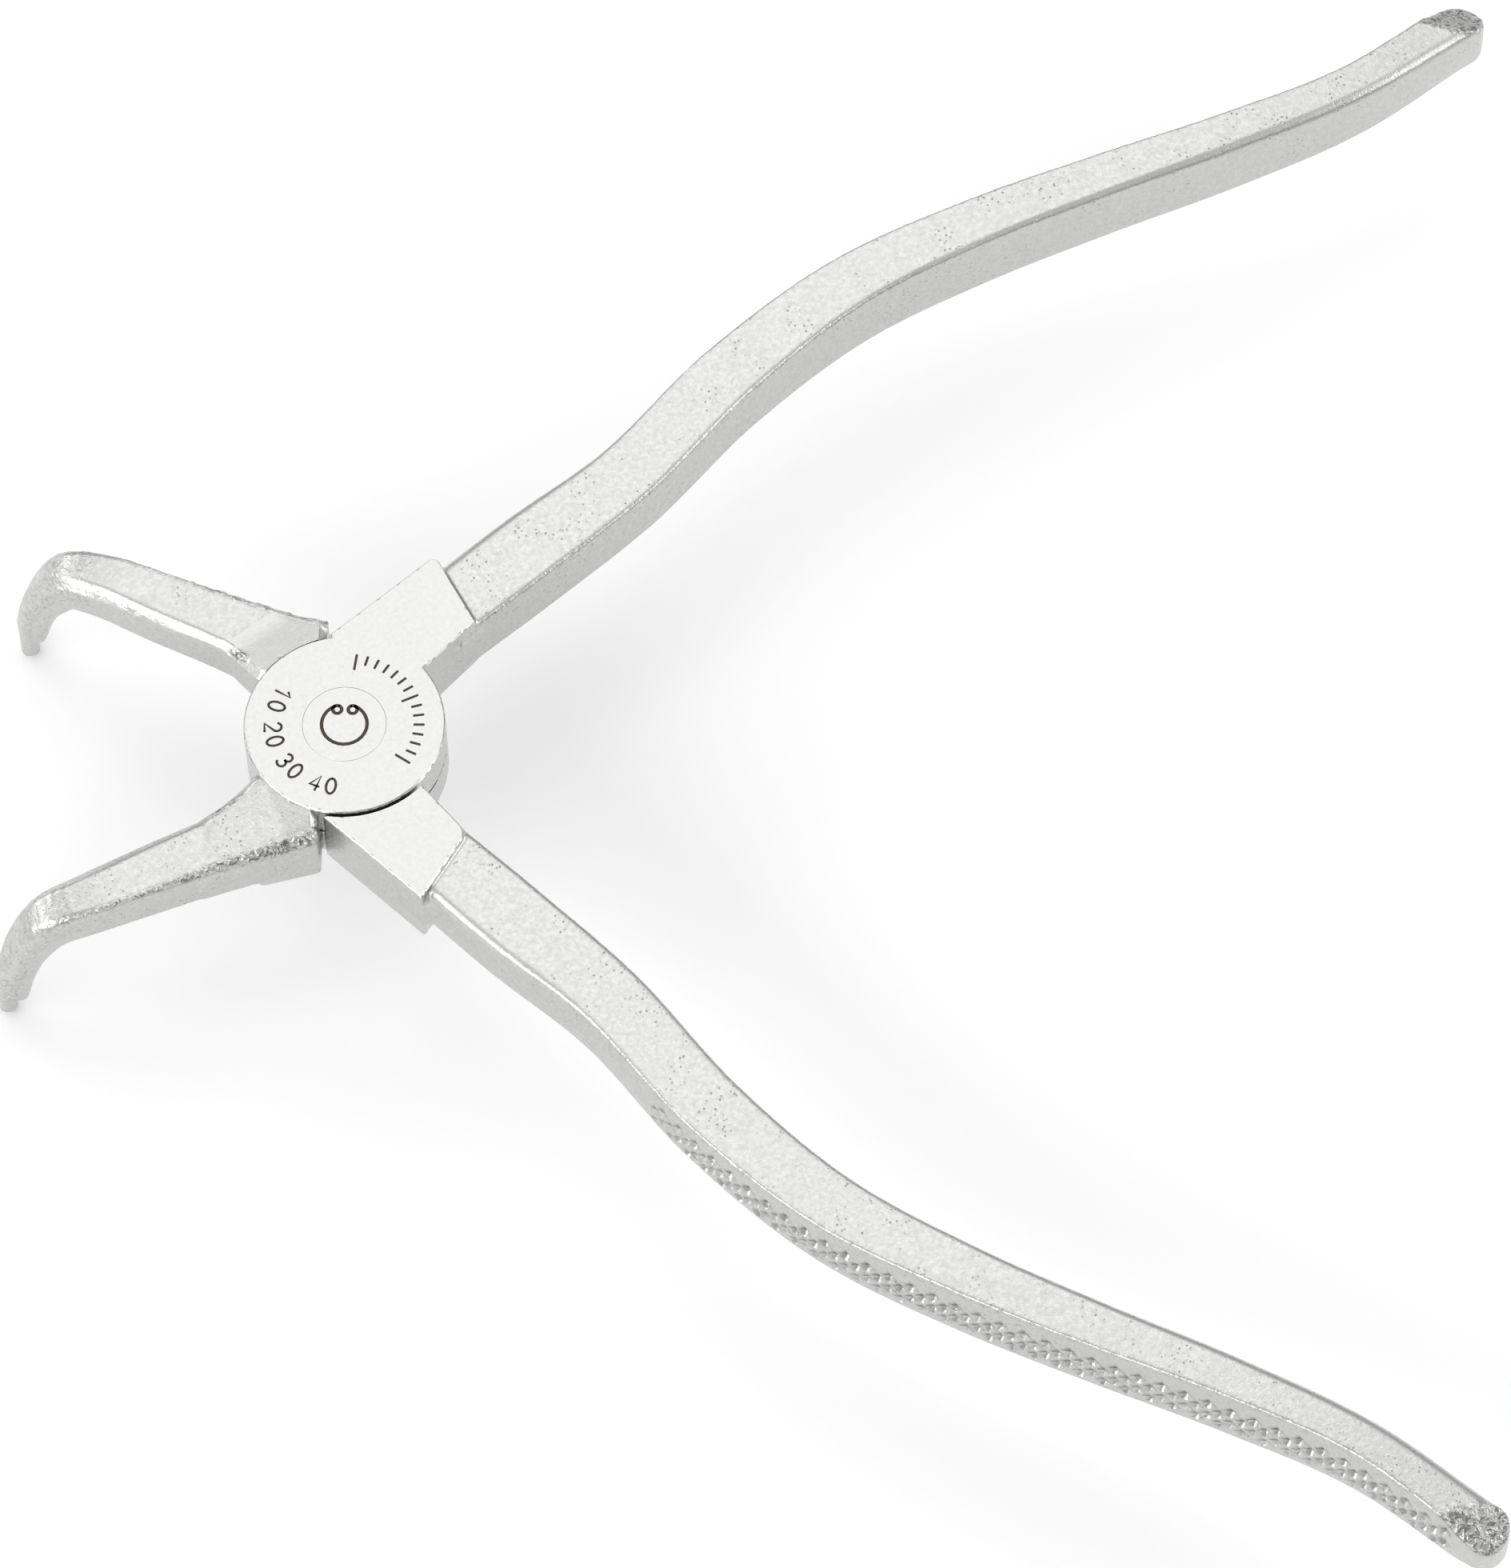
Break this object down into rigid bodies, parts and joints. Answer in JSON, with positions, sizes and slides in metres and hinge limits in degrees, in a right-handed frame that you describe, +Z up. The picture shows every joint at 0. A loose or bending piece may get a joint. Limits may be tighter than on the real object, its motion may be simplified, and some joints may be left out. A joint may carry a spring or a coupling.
{
  "type": "circlip pliers",
  "caption": "Bent-tip internal circlip pliers: forged arms crossing in a lap joint, turned tips pointing down, long S-shaped handles with knurled outer sides.",
  "frame": {"origin": "the pivot axis, at the top ground face of the head", "axes": "+Z up along the pivot axis, away from the pointing side of the tips; +X towards the handles, midway between them; the jaws point to -X"},
  "size_m": [0.1415, 0.1634, 0.021],
  "materials": {
    "forged_steel": "satin plating over a forged and blasted surface, ground bright on the head",
    "ground_steel": "ground flush with the head, fine scratches"
  },
  "bodies": {
    "lower_arm": {"lower_lap_arm": "forged_steel"},
    "upper_arm": {"upper_lap_arm": "forged_steel", "joint_rivet": "ground_steel"}
  },
  "joints": [
    {"name": "lap_joint", "type": "hinge", "parent": "lower_arm", "child": "upper_arm", "pos_m": [0, 0, 0], "axis": [0, 0, -1], "range_deg": [0, 55]}
  ]
}
